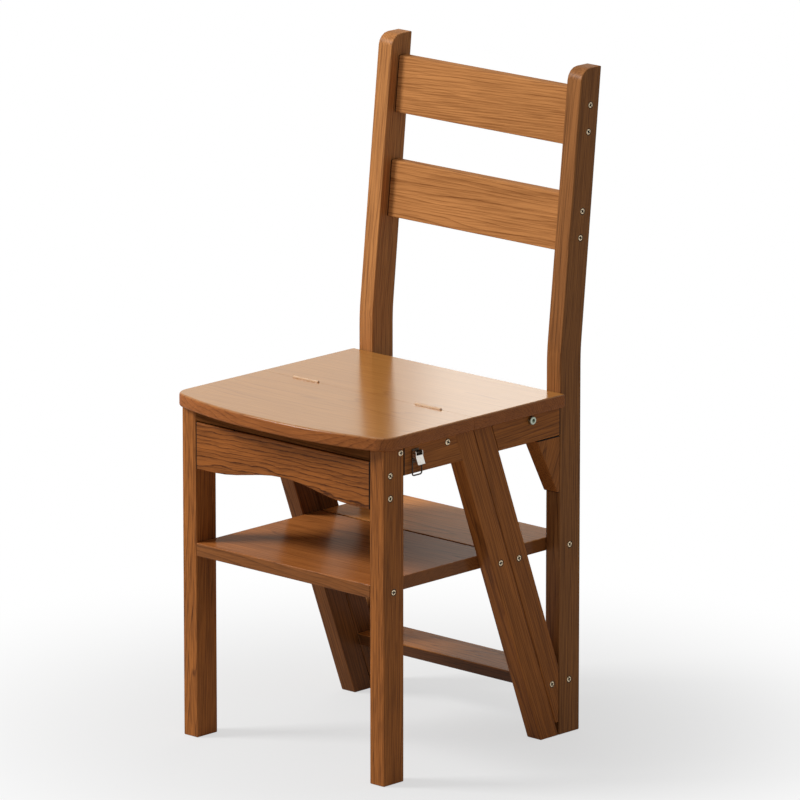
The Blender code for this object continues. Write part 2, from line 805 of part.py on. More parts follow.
def catch_bolt(name, side, mesh):
    y = POST_FRONT_Y - BOLT_SETBACK
    bolt = in_place(name, mesh, side, y, BEARER_MIDDLE)
    top = OUTER_X + TOUCH_GAP + BOLT_HEAD_HEIGHT
    middle = (side * (top - BOLT_SOCKET_DEPTH / 2 + CUT_OVERRUN / 2), y, BEARER_MIDDLE)
    length = BOLT_SOCKET_DEPTH + CUT_OVERRUN
    radius = BOLT_SOCKET_RADIUS
    socket = cutter_rod(name + "_socket", TURN_TO_X, middle, length, radius, BOLT_SOCKET_SIDES)
    boolean(bolt, socket)
    hole_middle = (side * OUTER_X, y, BEARER_MIDDLE)
    hole_length = 2 * (BOLT_LENGTH + TOUCH_GAP)
    radius = BOLT_SHANK_RADIUS + TOUCH_GAP
    hole = cutter_rod(name + "_hole", TURN_TO_X, hole_middle, hole_length, radius, SCREW_STEPS)
    return bolt, hole


# Draw latches: a screwed plate with two ears, a folded sheet lever on their pin, and a wire bail
LATCH_Z = FRAME_TOP - LATCH_PIVOT_DROP
LATCH_Y = FRONT_Y + LATCH_PLACE_Y
LATCH_PIVOT_X = OUTER_X + LATCH_PIVOT_STANDOFF
BAIL_X = LATCH_PIVOT_X - BAIL_SETBACK
BAIL_Z = LATCH_Z - BAIL_DROP


def latch_outline(side, points):
    """Points given as the reach out from the pin and the drop below it, in the front view."""
    return [Vector((side * (LATCH_PIVOT_X + reach), LATCH_Z - drop)) for reach, drop in points]


def latch_base(name, side):
    """The plate on the side rail, with its ears and the lever's pin."""
    face = OUTER_X + TOUCH_GAP
    half = LATCH_PLATE_WIDTH / 2
    ends = sorted((side * face, side * (face + LATCH_PLATE_THICKNESS)))
    low = (ends[0], LATCH_Y - half, LATCH_Z - LATCH_PLATE_FALL)
    high = (ends[1], LATCH_Y + half, LATCH_Z + LATCH_PLATE_RISE)
    plate = box(name, low, high, dull_steel)
    root = -LATCH_PIVOT_STANDOFF + TOUCH_GAP + LATCH_PLATE_THICKNESS / 2
    reach = LATCH_EAR_RADIUS
    corners = [
        (root, -reach, 0),
        (root, reach, 0),
        (reach, reach, LATCH_EAR_ROUND),
        (reach, -reach, LATCH_EAR_ROUND),
    ]
    outline = latch_outline(side, rounded(corners, BEND_STEPS))
    for mark, sign in (("front", -1), ("rear", 1)):
        ear_y = LATCH_Y + sign * (LATCH_EAR_SPREAD - LATCH_EAR_THICKNESS) / 2
        ear = cutter_board(f"{name}_{mark}_ear", outline, LATCH_EAR_THICKNESS, (0, ear_y, 0))
        boolean(plate, ear, "UNION")
    middle = (side * LATCH_PIVOT_X, LATCH_Y, LATCH_Z)
    pin = cutter_rod(
        name + "_pin", TURN_TO_Y, middle, LATCH_PIN_LENGTH, LATCH_PIN_RADIUS, LATCH_STEPS
    )
    boolean(plate, pin, "UNION")
    return plate


def lever_face_at(drop):
    """How far the lever's outer face stands out from the pin, that far below it."""
    slope = LEVER_TAB_KICK / (LEVER_LENGTH - LEVER_STRAIGHT)
    return LEVER_CROWN_REACH + max(drop - LEVER_STRAIGHT, 0) * slope


def lever_section():
    """The lever's side outline: a round head on the pin, cheeks, and a face that slants out."""
    crown = LEVER_CROWN_REACH
    corners = [
        (-crown, -crown, LEVER_CROWN_RADIUS),
        (-LEVER_CHEEK_REACH, LEVER_CHEEK_DROP, 0),
        (lever_face_at(LEVER_CHEEK_END) - LEVER_FLANGE, LEVER_CHEEK_END, 0),
        (lever_face_at(LEVER_LENGTH) - LEVER_FLANGE, LEVER_LENGTH, 0),
        (lever_face_at(LEVER_LENGTH), LEVER_LENGTH, 0),
        (crown, LEVER_STRAIGHT, 0),
        (crown, -crown, LEVER_CROWN_RADIUS),
    ]
    return [(point.x, point.y) for point in rounded(corners, BEND_STEPS)]


def latch_lever(name, side):
    """A sheet lever with two cheeks, hollow behind its face and open at the top for the ears."""
    place = (0, LATCH_Y, 0)
    outline = latch_outline(side, lever_section())
    lever = board(name, outline, LEVER_WIDTH, place, FRONT_VIEW, bright_steel)
    inner_width = LEVER_WIDTH - 2 * LEVER_SHEET
    beyond = LEVER_LENGTH + CUT_OVERRUN
    aside = LEVER_CROWN_REACH + CUT_OVERRUN
    inside = [
        (-aside, -aside),
        (-aside, beyond),
        (lever_face_at(beyond) - LEVER_SHEET, beyond),
        (LEVER_CROWN_REACH - LEVER_SHEET, LEVER_STRAIGHT),
        (LEVER_CROWN_REACH - LEVER_SHEET, LEVER_THROAT),
        (aside, LEVER_THROAT),
        (aside, -aside),
    ]
    outline = latch_outline(side, inside)
    boolean(lever, cutter_board(name + "_hollow", outline, inner_width, place))
    for mark, reach, drop, radius in (
        ("pivot", 0, 0, LATCH_HOLE_RADIUS),
        ("bail", -BAIL_SETBACK, BAIL_DROP, BAIL_WIRE_RADIUS + TOUCH_GAP),
    ):
        middle = (side * (LATCH_PIVOT_X + reach), LATCH_Y, LATCH_Z - drop)
        length = LEVER_WIDTH + CUT_OVERRUN
        hole = cutter_rod(f"{name}_{mark}_hole", TURN_TO_Y, middle, length, radius, LATCH_STEPS)
        boolean(lever, hole)
    return lever


def latch_bail(name, side):
    """A bent wire loop whose ends hook into the lever's cheeks."""
    low = BAIL_Z - BAIL_LENGTH
    half = BAIL_WIDTH / 2 - BAIL_WIRE_RADIUS
    path = bail_path(half, BAIL_Z, low)
    curve = bpy.data.curves.new(name, "CURVE")
    curve.dimensions = "3D"
    curve.bevel_depth = BAIL_WIRE_RADIUS
    curve.bevel_resolution = BAIL_WIRE_RESOLUTION
    curve.use_fill_caps = True
    spline = curve.splines.new("POLY")
    spline.points.add(len(path) - 1)
    for point, (across, up) in zip(spline.points, path):
        point.co = (side * BAIL_X, LATCH_Y + across, up, 1)
    drawn = bpy.data.objects.new(name, curve)
    chair.objects.link(drawn)
    made = as_mesh(drawn, dull_steel)
    made.data.shade_smooth()
    return made


def bail_path(half, top, low):
    """The wire's middle line: in through one cheek, down, across, up and in again."""
    corners = [
        (half, top, BAIL_HOOK_BEND),
        (half, low + BAIL_WIRE_RADIUS, BAIL_BEND_RADIUS),
        (-half, low + BAIL_WIRE_RADIUS, BAIL_BEND_RADIUS),
        (-half, top, BAIL_HOOK_BEND),
    ]
    hooks = (half - BAIL_HOOK, top, 0)
    others = (BAIL_HOOK - half, top, 0)
    return rounded([hooks] + corners + [others], BEND_STEPS)


def pivot_empty(name, place):
    """An empty on a joint's axis, which carries what turns there."""
    empty = bpy.data.objects.new(name, None)
    chair.objects.link(empty)
    empty.location = place
    return empty


def carry(parent, children):
    bpy.context.view_layer.update()
    for child in children:
        child.parent = parent
        child.matrix_parent_inverse = parent.matrix_world.inverted()


# The whole chair, piece by piece
front = {}
back = {}

for word, sign in SIDES:
    front[f"front_leg_{word}"] = front_leg(f"front_leg_{word}", sign)
    front[f"front_diagonal_{word}"] = front_diagonal(f"front_diagonal_{word}", sign)
    front[f"front_side_rail_{word}"] = front_side_rail(f"front_side_rail_{word}", sign)
    back[f"back_post_{word}"] = back_post(f"back_post_{word}", sign)
    back[f"rear_diagonal_{word}"] = rear_diagonal(f"rear_diagonal_{word}", sign)
    back[f"rear_side_rail_{word}"] = rear_side_rail(f"rear_side_rail_{word}", sign)
    back[f"gusset_{word}"] = gusset(f"gusset_{word}", sign)

front["front_apron"] = front_apron()
front["front_shelf"] = cross_board(
    "front_shelf",
    SHELF_HEIGHT - BOARD_THICKNESS,
    SHELF_HEIGHT,
    lambda z: FRONT_Y,
    before_split,
    seat_wood,
)
front["front_bearer"] = cross_board(
    "front_bearer",
    FRAME_TOP - BEARER_THICKNESS,
    FRAME_TOP,
    lambda z: FRONT_Y,
    before_split,
    light_wood,
)
back["rear_bearer"] = cross_board(
    "rear_bearer",
    FRAME_TOP - BEARER_THICKNESS,
    FRAME_TOP,
    behind_split,
    lambda z: POST_FRONT_Y,
    light_wood,
)
back["rear_shelf"] = cross_board(
    "rear_shelf",
    SHELF_HEIGHT - BOARD_THICKNESS,
    SHELF_HEIGHT,
    behind_split,
    lambda z: POST_REAR_Y - SHELF_REAR_INSET,
    seat_wood,
)
back["low_board"] = cross_board(
    "low_board",
    LOW_BOARD_HEIGHT - BOARD_THICKNESS,
    LOW_BOARD_HEIGHT,
    behind_split,
    lambda z: POST_REAR_Y,
    seat_wood,
)
back["crest_rail"] = back_rail("crest_rail", CREST_RAIL_TOP)
back["lower_back_rail"] = back_rail("lower_back_rail", LOWER_RAIL_TOP)
front["front_seat_board"] = seat_board("front_seat_board", True)
back["rear_seat_board"] = seat_board("rear_seat_board", False)

for word, sign in SIDES:
    let_in_hinge(front["front_seat_board"], sign, True)
    let_in_hinge(back["rear_seat_board"], sign, False)
    name = f"seat_hinge_front_leaf_{word}"
    front[name] = hinge_leaf(name, sign, True)
    name = f"seat_hinge_rear_leaf_{word}"
    back[name] = hinge_leaf(name, sign, False)

screw_mesh = turned_mesh("wood_screw", screw_profile(), SCREW_STEPS, bright_steel)
hole_mesh = turned_mesh("wood_screw_hole", hole_profile(), SCREW_STEPS)
for word, sign in SIDES:
    for name, y, z, outer, inner in screw_places():
        owner = front if f"{outer}_{word}" in front else back
        owner[f"{name}_{word}"] = in_place(f"{name}_{word}", screw_mesh, sign, y, z)
        hole = in_place(f"{name}_{word}_hole", hole_mesh, sign, y, z, cutters)
        hide_cutter(hole)
        boolean(owner[f"{outer}_{word}"], hole)
        boolean(owner[inner], hole)

bolt_mesh = turned_mesh("catch_bolt", bolt_profile(), SCREW_STEPS, bright_steel)
for word, sign in SIDES:
    name = f"catch_bolt_{word}"
    back[name], bolt_hole = catch_bolt(name, sign, bolt_mesh)
    boolean(back[f"rear_side_rail_{word}"], bolt_hole)
    boolean(back["rear_bearer"], bolt_hole)

hinge = pivot_empty("back_frame_hinge", (0, HINGE_Y, HINGE_Z))
carry(hinge, back.values())

for word, sign in SIDES:
    latch_base(f"latch_base_{word}", sign)
    lever_pivot = pivot_empty(f"latch_pivot_{word}", (sign * LATCH_PIVOT_X, LATCH_Y, LATCH_Z))
    bail_pivot = pivot_empty(f"bail_pivot_{word}", (sign * BAIL_X, LATCH_Y, BAIL_Z))
    carry(bail_pivot, [latch_bail(f"latch_bail_{word}", sign)])
    carry(lever_pivot, [latch_lever(f"latch_lever_{word}", sign), bail_pivot])

bpy.context.view_layer.update()
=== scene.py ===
"""Looks of the wooden ladder chair: stained and lacquered timber, zinc screws and steel latches."""

import json
import math

import bmesh
import bpy
from mathutils import Matrix, Vector

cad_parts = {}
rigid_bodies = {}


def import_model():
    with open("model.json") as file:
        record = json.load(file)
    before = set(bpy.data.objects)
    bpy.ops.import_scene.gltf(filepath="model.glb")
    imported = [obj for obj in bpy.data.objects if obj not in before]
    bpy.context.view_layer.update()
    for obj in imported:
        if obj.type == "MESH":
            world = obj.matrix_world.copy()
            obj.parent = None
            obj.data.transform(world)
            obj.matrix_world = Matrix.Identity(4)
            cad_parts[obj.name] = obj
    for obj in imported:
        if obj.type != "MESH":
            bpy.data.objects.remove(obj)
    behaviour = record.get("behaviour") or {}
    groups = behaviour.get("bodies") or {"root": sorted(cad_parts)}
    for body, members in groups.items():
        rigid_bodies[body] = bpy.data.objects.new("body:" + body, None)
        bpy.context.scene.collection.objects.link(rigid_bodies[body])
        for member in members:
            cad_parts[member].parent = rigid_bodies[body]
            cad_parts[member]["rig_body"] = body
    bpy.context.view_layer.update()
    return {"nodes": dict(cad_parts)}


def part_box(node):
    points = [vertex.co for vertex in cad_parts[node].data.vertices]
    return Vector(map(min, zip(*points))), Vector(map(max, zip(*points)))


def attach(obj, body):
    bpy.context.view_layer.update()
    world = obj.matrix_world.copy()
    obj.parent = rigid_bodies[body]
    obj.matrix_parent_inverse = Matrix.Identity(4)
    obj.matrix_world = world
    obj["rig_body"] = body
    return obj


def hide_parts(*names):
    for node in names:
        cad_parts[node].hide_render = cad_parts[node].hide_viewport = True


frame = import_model()

# Front legs
# Two straight hardwood legs that stand in front and carry the seat's front half.
# They are sawn along the grain, slightly rounded at the edges, stained chestnut and lacquered.


class Shade:
    """A value that changes over a surface. Sums and products of it add their own Math nodes."""

    def __init__(self, finish, socket):
        self.finish = finish
        self.socket = socket

    def __add__(self, other):
        return self.finish.maths("ADD", self, other)

    def __radd__(self, other):
        return self.finish.maths("ADD", other, self)

    def __sub__(self, other):
        return self.finish.maths("SUBTRACT", self, other)

    def __rsub__(self, other):
        return self.finish.maths("SUBTRACT", other, self)

    def __mul__(self, other):
        return self.finish.maths("MULTIPLY", self, other)

    def __rmul__(self, other):
        return self.finish.maths("MULTIPLY", other, self)


class Finish:
    """One finish: a material, or the world, whose nodes are added one by one."""

    def __init__(self, owner):
        owner.use_nodes = True
        self.owner = owner
        self.tree = owner.node_tree

    def node(self, kind, settings=None, sockets=None, output=0):
        """Adds a node with its settings, then its socket values or links, and gives one output."""
        added = self.tree.nodes.new(kind)
        for name, setting in (settings or {}).items():
            if name == "stops":
                self.set_stops(added.color_ramp, setting)
            else:
                setattr(added, name, setting)
        for name, given in (sockets or {}).items():
            self.put(added.inputs[name], given)
        return Shade(self, added.outputs[output])

    def set_stops(self, ramp, stops):
        """Gives a ramp its stops, each a place and a grey level."""
        for spare in list(ramp.elements)[1:]:
            ramp.elements.remove(spare)
        ramp.elements[0].position = stops[0][0]
        for place, _ in stops[1:]:
            ramp.elements.new(place)
        for element, (_, level) in zip(ramp.elements, stops):
            element.color = (level, level, level, 1)

    def put(self, socket, given):
        """Links a socket to a changing value, or sets it to a fixed one."""
        if isinstance(given, Shade):
            self.tree.links.new(given.socket, socket)
        else:
            socket.default_value = given

    def maths(self, operation, first, second=0.0):
        """A Math node, for values."""
        return self.node("ShaderNodeMath", {"operation": operation}, {0: first, 1: second})

    def vectors(self, operation, *places):
        """A Vector Math node, for places."""
        return self.node("ShaderNodeVectorMath", {"operation": operation}, dict(enumerate(places)))

    def blend(self, share, first, second):
        """The colour that goes from the first to the second as the share goes from 0 to 1."""
        return self.node(
            "ShaderNodeMix",
            {"data_type": "RGBA", "clamp_factor": True},
            {0: share, 6: first, 7: second},
            output=2,
        )

    def noise(self, place, width, detail, output="Fac"):
        """Soft irregular spots of about that width."""
        return self.node(
            "ShaderNodeTexNoise",
            sockets={"Vector": place, "Scale": 1 / width, "Detail": detail},
            output=output,
        )

    def along_axis(self, place, axis):
        """One coordinate of the place."""
        return self.node("ShaderNodeSeparateXYZ", sockets={"Vector": place}, output=axis)

    def drawn_out(self, place, share):
        """The place with its height pressed, so that a pattern there is drawn out along it."""
        return self.vectors("MULTIPLY", place, (1, 1, share))

    def levels(self, value, stops):
        """The value read off a curve through the stops."""
        return self.node("ShaderNodeValToRGB", {"stops": stops}, {"Fac": value})

    def surface(self, **sockets):
        """Sets the shader's sockets, by their names with underscores for spaces."""
        shader = self.tree.nodes["Principled BSDF"]
        for name, given in sockets.items():
            self.put(shader.inputs[name.replace("_", " ")], given)


def stain(red, green, blue):
    """A colour as a paint chart gives it, from 0 to 255, made linear."""
    linear = [((level / 255 + 0.055) / 1.055) ** 2.4 for level in (red, green, blue)]
    return (*linear, 1)


def dress(node, finish):
    """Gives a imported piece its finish."""
    materials = frame["nodes"][node].data.materials
    materials.clear()
    materials.append(finish)


COARSE_DETAIL = 2
FINE_DETAIL = 3
NOISE_MIDDLE = 0.5
GROWTH_DRAW = 0.09
GROWTH_BEND_WIDTH = 0.05
GROWTH_BEND = 0.03
RIPPLE_DRAW = 0.34
RIPPLE_WIDTH = 0.0036
RING_WIDTH_AT_SCALE_ONE = math.pi / 10
LATE_WOOD = ((0.0, 0.3), (0.05, 0.0), (0.6, 0.08), (0.87, 0.36), (0.94, 1.0), (1.0, 0.6))
FIBRE_WIDTH = 0.0014
FIBRE_DRAW = 0.018
PORES = ((0.46, 0.0), (0.6, 1.0))
PORE_RELIEF = 0.06
PORE_DEPTH = 0.0002
BAND_WIDTH = 0.007
BAND_DRAW = 0.025
BAND_SHARE = 0.6
CLOUD_WIDTH = 0.04
CLOUD_DRAW = 0.2
CLOUD_SHARE = 0.4
STAIN_DEPTH = 0.16
BARE_ROUGHNESS = 0.5


def from_heart(wood, place, node, along, heart):
    """The place as the tree had it, its height along the grain and the tree's heart line at 0."""
    low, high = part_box(node)
    turn = Vector(along).rotation_difference(Vector((0, 0, 1)))
    heart_place = turn @ ((low + high) / 2 + Vector(heart))
    return wood.node(
        "ShaderNodeMapping",
        {"vector_type": "POINT"},
        {"Vector": place, "Rotation": turn.to_euler(), "Location": -heart_place},
    )


def growth_rings(wood, grain, ring_width, ripple):
    """Rings round the heart line, bent and rippled, from 0 in early wood to 1 in late wood."""
    spots = wood.drawn_out(grain, GROWTH_DRAW)
    bend = wood.noise(spots, GROWTH_BEND_WIDTH, COARSE_DETAIL, output="Color")
    bent = wood.vectors("MULTIPLY_ADD", bend, (GROWTH_BEND, GROWTH_BEND, 0), grain)
    rings = wood.node(
        "ShaderNodeTexWave",
        {"wave_type": "RINGS", "rings_direction": "Z", "wave_profile": "SAW"},
        {
            "Vector": wood.drawn_out(bent, RIPPLE_DRAW),
            "Scale": RING_WIDTH_AT_SCALE_ONE / ring_width,
            "Distortion": ripple,
            "Detail": FINE_DETAIL,
            "Detail Scale": ring_width / RIPPLE_WIDTH,
        },
        output="Fac",
    )
    return wood.levels(rings, LATE_WOOD)


def timber(node, along, heart, stains, figure, lacquer, joined="", lean=0, edges=None):
    """Solid wood for one board, with its grain, stain, lacquer and rounded edges.

    The grain runs along one direction, and the heart is the tree's middle seen from the board's.
    A figure is the rings' width, their ripple, and how dark their lines and the pores are.
    Stains go from the palest wood to the darkest. A lacquer is its weight and its roughness.
    Joined names the axis whose two ends get thin lines of painted shade at their joints, and a lean
    makes the grain follow it.
    Edges are darker stains that paint shade on the faces round and below a board's top.
    """
    ring_width, ripple, lines, streaks = figure
    coats, softness = lacquer
    wood = Finish(bpy.data.materials.new(f"wood_{node}"))
    surface = wood.node("ShaderNodeTexCoord", output="Object")
    upright = straightened(wood, surface, lean) if lean else surface
    grain = from_heart(wood, upright, node, along, heart)
    fibres = wood.noise(wood.drawn_out(grain, FIBRE_DRAW), FIBRE_WIDTH, FINE_DETAIL)
    pores = wood.levels(fibres, PORES)
    bands = wood.noise(wood.drawn_out(grain, BAND_DRAW), BAND_WIDTH, FINE_DETAIL)
    clouds = wood.noise(wood.drawn_out(grain, CLOUD_DRAW), CLOUD_WIDTH, COARSE_DETAIL)
    depth = (
        lines * growth_rings(wood, grain, ring_width, ripple)
        + streaks * pores
        + BAND_SHARE * (bands - NOISE_MIDDLE)
        + CLOUD_SHARE * (clouds - NOISE_MIDDLE)
        + STAIN_DEPTH
    )
    colour = wood.blend(depth, *stains)
    if edges:
        top = top_face(wood, surface, node)
        # Paints shade on the faces below the top with the darker edge stains.
        colour = wood.blend(top, wood.blend(depth, *edges), colour)
        coats = EDGE_COATS + (coats - EDGE_COATS) * top
    # Paints shade on the thin lines at the board's joints.
    if joined:
        colour = wood.blend(painted_joint_shade(wood, surface, node, joined), colour, JOINT_PAINTED_SHADE)
    wood.surface(
        Base_Color=colour,
        Roughness=BARE_ROUGHNESS,
        Specular_IOR_Level=0.0,
        Coat_Weight=coats,
        Coat_Roughness=softness,
        Normal=wood.node(
            "ShaderNodeBump",
            sockets={"Height": 1 - pores, "Strength": PORE_RELIEF, "Distance": PORE_DEPTH},
        ),
    )
    dress(node, wood.owner)
    round_light(frame["nodes"][node])


WELD_REACH = 0.00001
SHARPEST_SANDED = math.radians(50)
FLAT_FACE_WEIGHT = 100


def rounding():
    """Smooths the light over every edge that turns less than the sharpest one that was sanded."""
    group = bpy.data.node_groups.new("sanded_edges", "GeometryNodeTree")
    group.interface.new_socket("Board", in_out="INPUT", socket_type="NodeSocketGeometry")
    group.interface.new_socket("Board", in_out="OUTPUT", socket_type="NodeSocketGeometry")
    nodes = group.nodes
    start = nodes.new("NodeGroupInput")
    faces = nodes.new("GeometryNodeSetShadeSmooth")
    edges = nodes.new("GeometryNodeSetShadeSmooth")
    edges.domain = "EDGE"
    edges.inputs["Shade Smooth"].default_value = False
    angle = nodes.new("GeometryNodeInputMeshEdgeAngle")
    sharp = nodes.new("FunctionNodeCompare")
    sharp.operation = "GREATER_THAN"
    sharp.inputs[1].default_value = SHARPEST_SANDED
    end = nodes.new("NodeGroupOutput")
    for source, target in (
        (start.outputs[0], faces.inputs["Geometry"]),
        (faces.outputs["Geometry"], edges.inputs["Geometry"]),
        (angle.outputs["Unsigned Angle"], sharp.inputs[0]),
        (sharp.outputs["Result"], edges.inputs["Selection"]),
        (edges.outputs["Geometry"], end.inputs[0]),
    ):
        group.links.new(source, target)
    return group


def round_light(piece):
    """Lets light run smoothly over a board's rounded edges, and keeps its flat faces flat."""
    weld = piece.modifiers.new("joined_faces", "WELD")
    weld.merge_threshold = WELD_REACH
    smooth = piece.modifiers.new("sanded_edges", "NODES")
    smooth.node_group = SANDED
    flat = piece.modifiers.new("flat_faces", "WEIGHTED_NORMAL")
    flat.weight = FLAT_FACE_WEIGHT
    flat.keep_sharp = True


SANDED = rounding()
SATIN = (0.2, 0.38)
STRAIGHT_GRAIN = (0.0029, 0.8, 0.5, 0.38)
CHESTNUT = (stain(180, 110, 53), stain(95, 53, 25))

timber(
    "front_leg_right",
    along=(0.02, 0.03, 1),
    heart=(-0.04, 0.09, 0),
    stains=CHESTNUT,
    figure=STRAIGHT_GRAIN,
    lacquer=SATIN,
)
timber(
    "front_leg_left",
    along=(-0.02, 0.04, 1),
    heart=(0.05, 0.11, 0.1),
    stains=CHESTNUT,
    figure=STRAIGHT_GRAIN,
    lacquer=SATIN,
)

# Apron
# A board under the seat's front edge, screwed between the two front legs.
# A shallow arch is sawn in its lower edge, its face shows wavy grain, and its ends get painted
# shade lines at the joints.
APRON_GRAIN = (0.0062, 3.2, 0.8, 0.3)
APRON_STAIN = (stain(168, 99, 45), stain(72, 36, 14))
JOINT_LINE = 0.0016
JOINT_FADE = ((0.0, 0.0), (0.4, 1.0))
# Painted shade in the cracks where boards' ends meet their neighbours.
JOINT_PAINTED_SHADE = stain(24, 14, 8)


def painted_joint_shade(wood, surface, node, axis):
    """1 on the thin line of painted shade where a board's two ends along that axis meet their
    neighbours.
    """
    low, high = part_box(node)
    number = "XYZ".index(axis)
    middle = (low[number] + high[number]) / 2
    reach = (high[number] - low[number]) / 2
    away = wood.maths("ABSOLUTE", wood.along_axis(surface, axis) - middle)
    return wood.levels((away - (reach - JOINT_LINE)) * (1 / JOINT_LINE), JOINT_FADE)


timber(
    "front_apron",
    along=(1, 0.04, 0.05),
    heart=(0, 0.034, -0.06),
    stains=APRON_STAIN,
    figure=APRON_GRAIN,
    lacquer=SATIN,
    joined="X",
)

# Front bearer and rear bearer
# Two boards laid flat, level with the side rails' tops, which carry the halves of the seat.
# The front one is screwed and the rear one bolted through the side rails, and both are bare, with a
# dark stain that paints the seat's shadow on them.
# Painted shadow of the seat over the bearers.
SEAT_SHADOW_STAIN = (stain(120, 72, 36), stain(66, 36, 17))
BARE = (0.0, 0.5)

for bearer, below in (("front_bearer", -0.06), ("rear_bearer", -0.07)):
    timber(
        bearer,
        along=(1, 0.02, 0),
        heart=(0, 0.03, below),
        stains=SEAT_SHADOW_STAIN,
        figure=STRAIGHT_GRAIN,
        lacquer=BARE,
    )

# Side rails
# Short rails under the seat's sides, fitted between leg, diagonal and post.
# Their grain runs from front to back, and their ends get painted shade lines where they meet.
WAVY_GRAIN = (0.006, 1.6, 0.5, 0.34)

for side, sign in (("right", 1), ("left", -1)):
    for rail, outward in (("front_side_rail", -0.05), ("rear_side_rail", 0.06)):
        timber(
            f"{rail}_{side}",
            along=(0.02, 1, 0.04),
            heart=(sign * outward, 0, 0.05),
            stains=CHESTNUT,
            figure=WAVY_GRAIN,
            lacquer=SATIN,
            joined="Y",
        )

# Diagonals
# Slanting stiles on both sides of the seam where the two halves of the chair part.
# Each half of the chair has its own pair, so that both halves stand on four feet.
SEAM_RUN = (0, -0.37388, 1)
# The left pair's darker stain paints the shade that the seat and shelf cast on them.
PAINTED_SHADE_CHESTNUT = (stain(130, 79, 39), stain(70, 40, 19))

for side, sign, stains in (("right", 1, CHESTNUT), ("left", -1, PAINTED_SHADE_CHESTNUT)):
    for stile, behind in (("front_diagonal", 0.07), ("rear_diagonal", -0.06)):
        timber(
            f"{stile}_{side}",
            along=SEAM_RUN,
            heart=(sign * 0.03, behind, 0),
            stains=stains,
            figure=STRAIGHT_GRAIN,
            lacquer=SATIN,
        )

# Gussets
# Small boards with a slanting edge that stiffen the corner between rear side rail and post.
# No screws show in them, and their grain runs nearly upright and ends in painted shade lines at the
# joints.
for side, sign in (("right", 1), ("left", -1)):
    timber(
        f"gusset_{side}",
        along=(0, 0.4, 1),
        heart=(sign * 0.05, 0, 0),
        stains=CHESTNUT,
        figure=STRAIGHT_GRAIN,
        lacquer=SATIN,
        joined="Z",
    )

# Back posts
# The two rear legs, each sawn in one piece that leans back above the seat.
# Their front corners are rounded at the top, and the grain follows them where they lean.
POST_STAIN = (stain(199, 135, 78), stain(118, 72, 39))
PALE_CHESTNUT = (stain(165, 108, 60), stain(93, 56, 29))
POST_LEAN = math.tan(math.radians(6))
LEAN_START = 0.515


def straightened(wood, surface, lean):
    """The place as it would lie if the post ran straight up from where it starts to lean."""
    above = wood.maths("MAXIMUM", wood.along_axis(surface, "Z") - LEAN_START, 0.0)
    forward = wood.node("ShaderNodeCombineXYZ", sockets={"Y": above * -lean})
    return wood.vectors("ADD", surface, forward)


for side, sign, stains in (("left", 1, POST_STAIN), ("right", -1, PALE_CHESTNUT)):
    timber(
        f"back_post_{side}",
        along=(0.015, 0.01, 1),
        heart=(sign * 0.05, 0.1, 0),
        stains=stains,
        figure=STRAIGHT_GRAIN,
        lacquer=SATIN,
        lean=POST_LEAN,
    )

# Back rails
# The crest rail and the lower back rail, flat boards that are screwed between the posts.
# They lie a little behind the posts' front faces, with little lacquer and a pale stain that is
# partly their own tone and partly painted light from above.
FINE_GRAIN = (0.0034, 0.8, 0.55, 0.3)
# Partly the rails' own pale tone, partly painted light that falls stronger high up.
RAIL_STAIN_AND_PAINTED_LIGHT = (stain(203, 139, 82), stain(125, 75, 38))
RAIL_LACQUER = (0.08, 0.38)

for rail, heart in (("crest_rail", (0.05, 0.05, 0.05)), ("lower_back_rail", (0, 0.09, -0.09))):
    timber(
        rail,
        along=(1, 0.02, 0.03),
        heart=heart,
        stains=RAIL_STAIN_AND_PAINTED_LIGHT,
        figure=FINE_GRAIN,
        lacquer=RAIL_LACQUER,
        joined="X",
    )

# Seat
# Two boards that butt at the hinge line, with a bowed front edge and rounded corners.
# The top has the thickest lacquer and mirrors the pale room, and the edges have less, with a darker
# stain that paints shade on them.
SEAT_STAIN = (stain(182, 124, 62), stain(156, 102, 50))
SEAT_LACQUER = (0.78, 0.19)
# Painted shade on the seat's edges.
SEAT_EDGE_PAINTED_SHADE = (stain(172, 102, 50), stain(116, 64, 28))
EDGE_COATS = 0.2
ARRIS = 0.002
RISE = ((0.0, 0.0), (1.0, 1.0))


def top_face(wood, surface, node):
    """1 on a board's top, 0 on its edges and below, and between them over the rounded arris."""
    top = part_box(node)[1].z
    return wood.levels((wood.along_axis(surface, "Z") - (top - ARRIS)) * (1 / ARRIS), RISE)


for board, behind in (("front_seat_board", 0.06), ("rear_seat_board", -0.07)):
    timber(
        board,
        along=(1, 0.02, 0.01),
        heart=(0, behind, -0.12),
        stains=SEAT_STAIN,
        figure=FINE_GRAIN,
        lacquer=SEAT_LACQUER,
        edges=SEAT_EDGE_PAINTED_SHADE,
    )

# Shelf and low board
# The steps of the ladder: a shelf in two parts, split on the seam, and a board near the floor.
# They are lacquered more thinly than the seat, and darker stains paint shade on their edges.
STEP_STAIN = (stain(186, 114, 58), stain(124, 70, 32))
# The rear shelf's paler stain paints light on it where the seat shades it.
STEP_STAIN_PAINTED_LIGHT = (stain(236, 156, 82), stain(172, 104, 48))
LOW_STEP_STAIN = (stain(206, 130, 62), stain(132, 78, 34))
STEP_LACQUER = (0.17, 0.22)
# Painted shade on the steps' edges.
STEP_EDGE_PAINTED_SHADE = (stain(150, 92, 47), stain(96, 56, 27))
LOW_EDGE_PAINTED_SHADE = (stain(110, 67, 38), stain(66, 39, 20))

for board, behind, stains, edges in (
    ("front_shelf", 0.05, STEP_STAIN, STEP_EDGE_PAINTED_SHADE),
    ("rear_shelf", -0.04, STEP_STAIN_PAINTED_LIGHT, STEP_EDGE_PAINTED_SHADE),
    ("low_board", 0.02, LOW_STEP_STAIN, LOW_EDGE_PAINTED_SHADE),
):
    timber(
        board,
        along=(1, 0.03, 0.01),
        heart=(0, behind, -0.09),
        stains=stains,
        figure=FINE_GRAIN,
        lacquer=STEP_LACQUER,
        edges=edges,
    )

